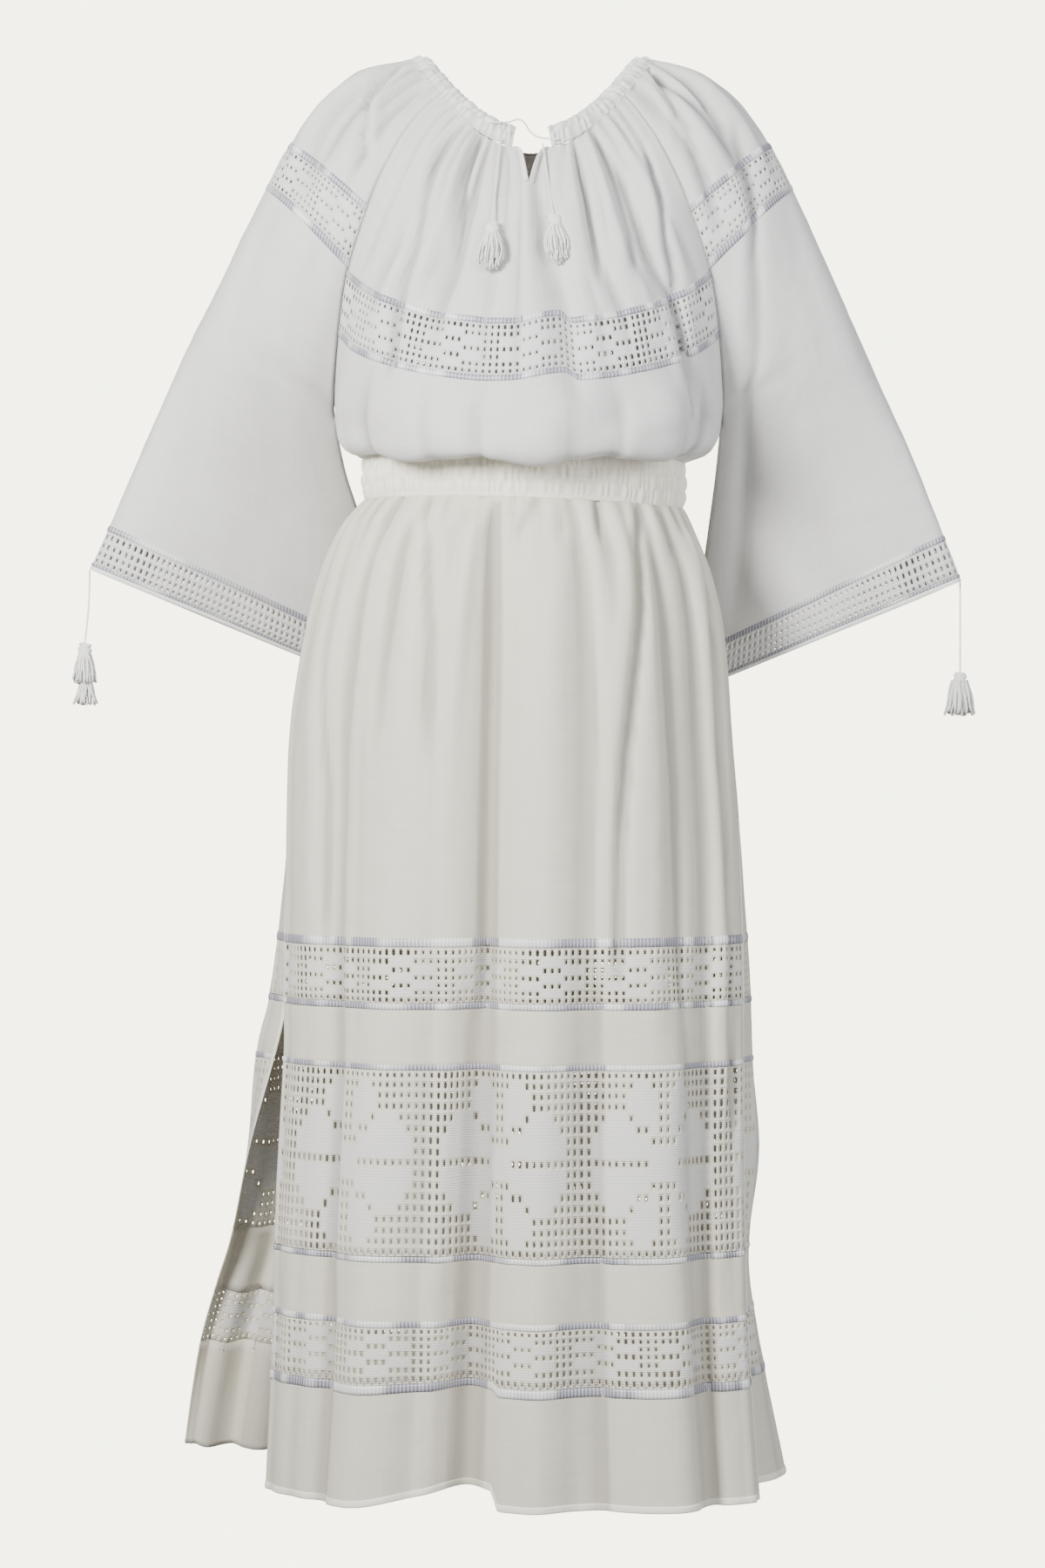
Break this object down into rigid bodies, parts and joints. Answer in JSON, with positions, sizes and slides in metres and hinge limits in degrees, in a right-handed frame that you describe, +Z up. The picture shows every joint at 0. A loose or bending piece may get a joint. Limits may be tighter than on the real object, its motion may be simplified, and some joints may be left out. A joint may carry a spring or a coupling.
{
  "type": "midi dress",
  "caption": "Hollow worn peasant midi dress with a gathered drawstring neck, wide openwork sleeves, smocked waist and slit skirt with openwork bands.",
  "frame": {"origin": "between the shoulders, at the height of the neck's two sides, where the wearer's shoulders hold the dress", "axes": "+Z up, -Y the way the front faces, +X the wearer's left"},
  "size_m": [0.7366, 0.2884, 1.1554],
  "materials": {
    "cotton_cool": "matt white cotton voile",
    "cotton_warm": "matt off-white cotton voile",
    "cord_white": "soft twisted cotton"
  },
  "bodies": {
    "root": {"bodice_front": "cotton_cool", "bodice_back": "cotton_cool", "sleeve_left": "cotton_cool", "sleeve_right": "cotton_cool", "neck_casing": "cotton_cool", "neck_label": "cord_white", "waistband": "cotton_warm", "skirt_front": "cotton_warm", "skirt_back": "cotton_warm", "cord_neck_bridge": "cord_white", "cord_neck_left": "cord_white", "cord_neck_right": "cord_white", "cord_cuff_left": "cord_white", "cord_cuff_right": "cord_white", "tassel_neck_left": "cord_white", "tassel_neck_right": "cord_white", "tassel_cuff_left": "cord_white", "tassel_cuff_right": "cord_white", "tassel_cuff_right_low": "cord_white"}
  },
  "joints": []
}
